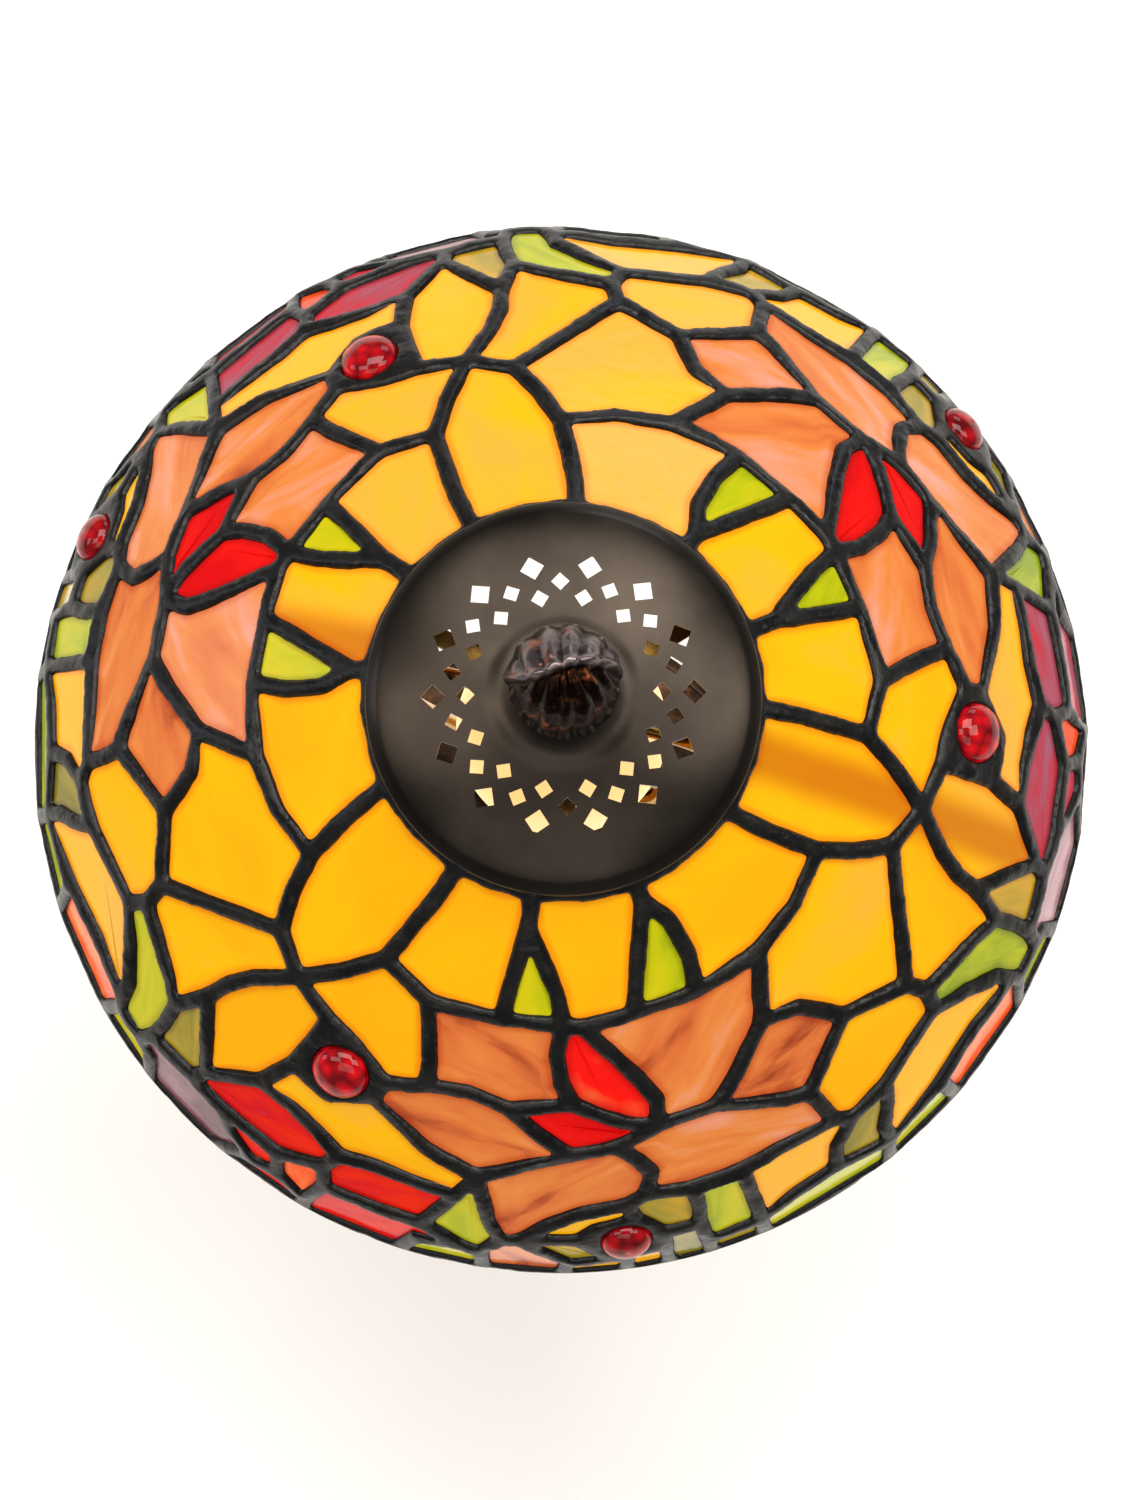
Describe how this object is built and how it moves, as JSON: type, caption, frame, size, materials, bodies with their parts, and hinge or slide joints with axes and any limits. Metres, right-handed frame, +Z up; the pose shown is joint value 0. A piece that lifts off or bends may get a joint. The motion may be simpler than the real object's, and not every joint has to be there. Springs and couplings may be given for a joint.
{
  "type": "stained glass table lamp",
  "caption": "Table lamp with a leaded dome shade of amber, peach, red and green glass on a fluted bronze stem and ribbed round foot.",
  "frame": {"origin": "middle of the underside of the felt pad, on the table", "axes": "+Z up along the lamp's axis, -Y towards the pull chain, +Y towards the cord's hole"},
  "size_m": [0.3079, 0.308, 0.4766],
  "materials": {
    "glass_amber": "opalescent sheet glass, amber",
    "glass_peach": "streaky opalescent sheet glass, peach and rose",
    "glass_red": "cathedral glass, cherry red",
    "glass_rose": "rippled glass, rose red",
    "glass_orange": "opalescent glass, burnt orange",
    "glass_green": "streaky glass, yellow green",
    "glass_olive": "streaky glass, olive brown",
    "glass_mauve": "opalescent glass, mauve",
    "glass_border": "opalescent glass, pale amber",
    "ruby_glass": "pressed ruby glass, polished",
    "patina_solder": "hand-laid solder with black patina",
    "brass": "lacquered brass",
    "aged_brass": "aged brass",
    "dark_bronze": "spun brass, dark bronze finish, faintly brushed",
    "cast_bronze": "cast metal, dark bronze finish rubbed brown in the lows",
    "liner_card": "fibre board liner",
    "dark_plastic": "dark moulded plastic",
    "bulb_glass": "lit frosted bulb glass",
    "bulb_metal": "rolled aluminium base",
    "filament": "glass stem and filament",
    "iron": "raw cast iron",
    "plate_steel": "zinc-plated steel",
    "felt": "green felt"
  },
  "bodies": {
    "base": {"shade_wheel": "brass", "vent_cap": "dark_bronze", "cap_spacer": "brass", "finial_washer": "dark_bronze", "harp_loop": "brass", "harp_boss": "brass", "harp_saddle": "brass", "socket_cap": "brass", "socket_shell": "brass", "socket_liner": "liner_card", "switch_body": "dark_plastic", "screw_shell": "brass", "contact_spring": "brass", "chain_guide": "brass", "lamp_pipe": "brass", "stem_cup": "cast_bronze", "stem_column": "cast_bronze", "stem_urn": "cast_bronze", "check_rings": "aged_brass", "base_foot": "cast_bronze", "cord_bushing": "dark_plastic", "ballast": "iron", "lock_washer": "brass", "pipe_nut": "brass", "bottom_plate": "plate_steel", "felt_pad": "felt"},
    "shade": {"glass_amber": "glass_amber", "glass_peach": "glass_peach", "glass_red": "glass_red", "glass_rose": "glass_rose", "glass_orange": "glass_orange", "glass_green": "glass_green", "glass_olive": "glass_olive", "glass_mauve": "glass_mauve", "glass_border": "glass_border", "jewels_upper": "ruby_glass", "jewels_lower": "ruby_glass", "solder_a": "patina_solder", "solder_b": "patina_solder", "solder_c": "patina_solder", "rim_band": "patina_solder", "collar_ring": "brass"},
    "finial": {"finial": "cast_bronze"},
    "bulb": {"bulb_glass": "bulb_glass", "bulb_base": "bulb_metal", "bulb_insulator": "dark_plastic", "bulb_filament": "filament"},
    "chain": {"pull_chain": "brass", "chain_bob": "cast_bronze"},
    "lock_left": {"ferrule_left": "brass"},
    "lock_right": {"ferrule_right": "brass"}
  },
  "joints": [
    {"name": "shade_turn", "type": "hinge", "parent": "base", "child": "shade", "pos_m": [0, 0, 0.416], "axis": [0, 0, 1], "continuous": true},
    {"name": "finial_turn", "type": "hinge", "parent": "base", "child": "finial", "pos_m": [0, 0, 0.444], "axis": [0, 0, 1], "range_deg": [0, 1080]},
    {"name": "bulb_turn", "type": "hinge", "parent": "base", "child": "bulb", "pos_m": [0, 0, 0.29], "axis": [0, 0, 1], "range_deg": [0, 1080]},
    {"name": "chain_pull", "type": "slide", "parent": "base", "child": "chain", "axis": [0, 0, -1], "range_m": [0, 0.008], "stiffness_N_per_m": 120, "springref_m": -0.004},
    {"name": "lock_left_lift", "type": "slide", "parent": "base", "child": "lock_left", "axis": [0, 0, 1], "range_m": [0, 0.011]},
    {"name": "lock_right_lift", "type": "slide", "parent": "base", "child": "lock_right", "axis": [0, 0, 1], "range_m": [0, 0.011]}
  ]
}
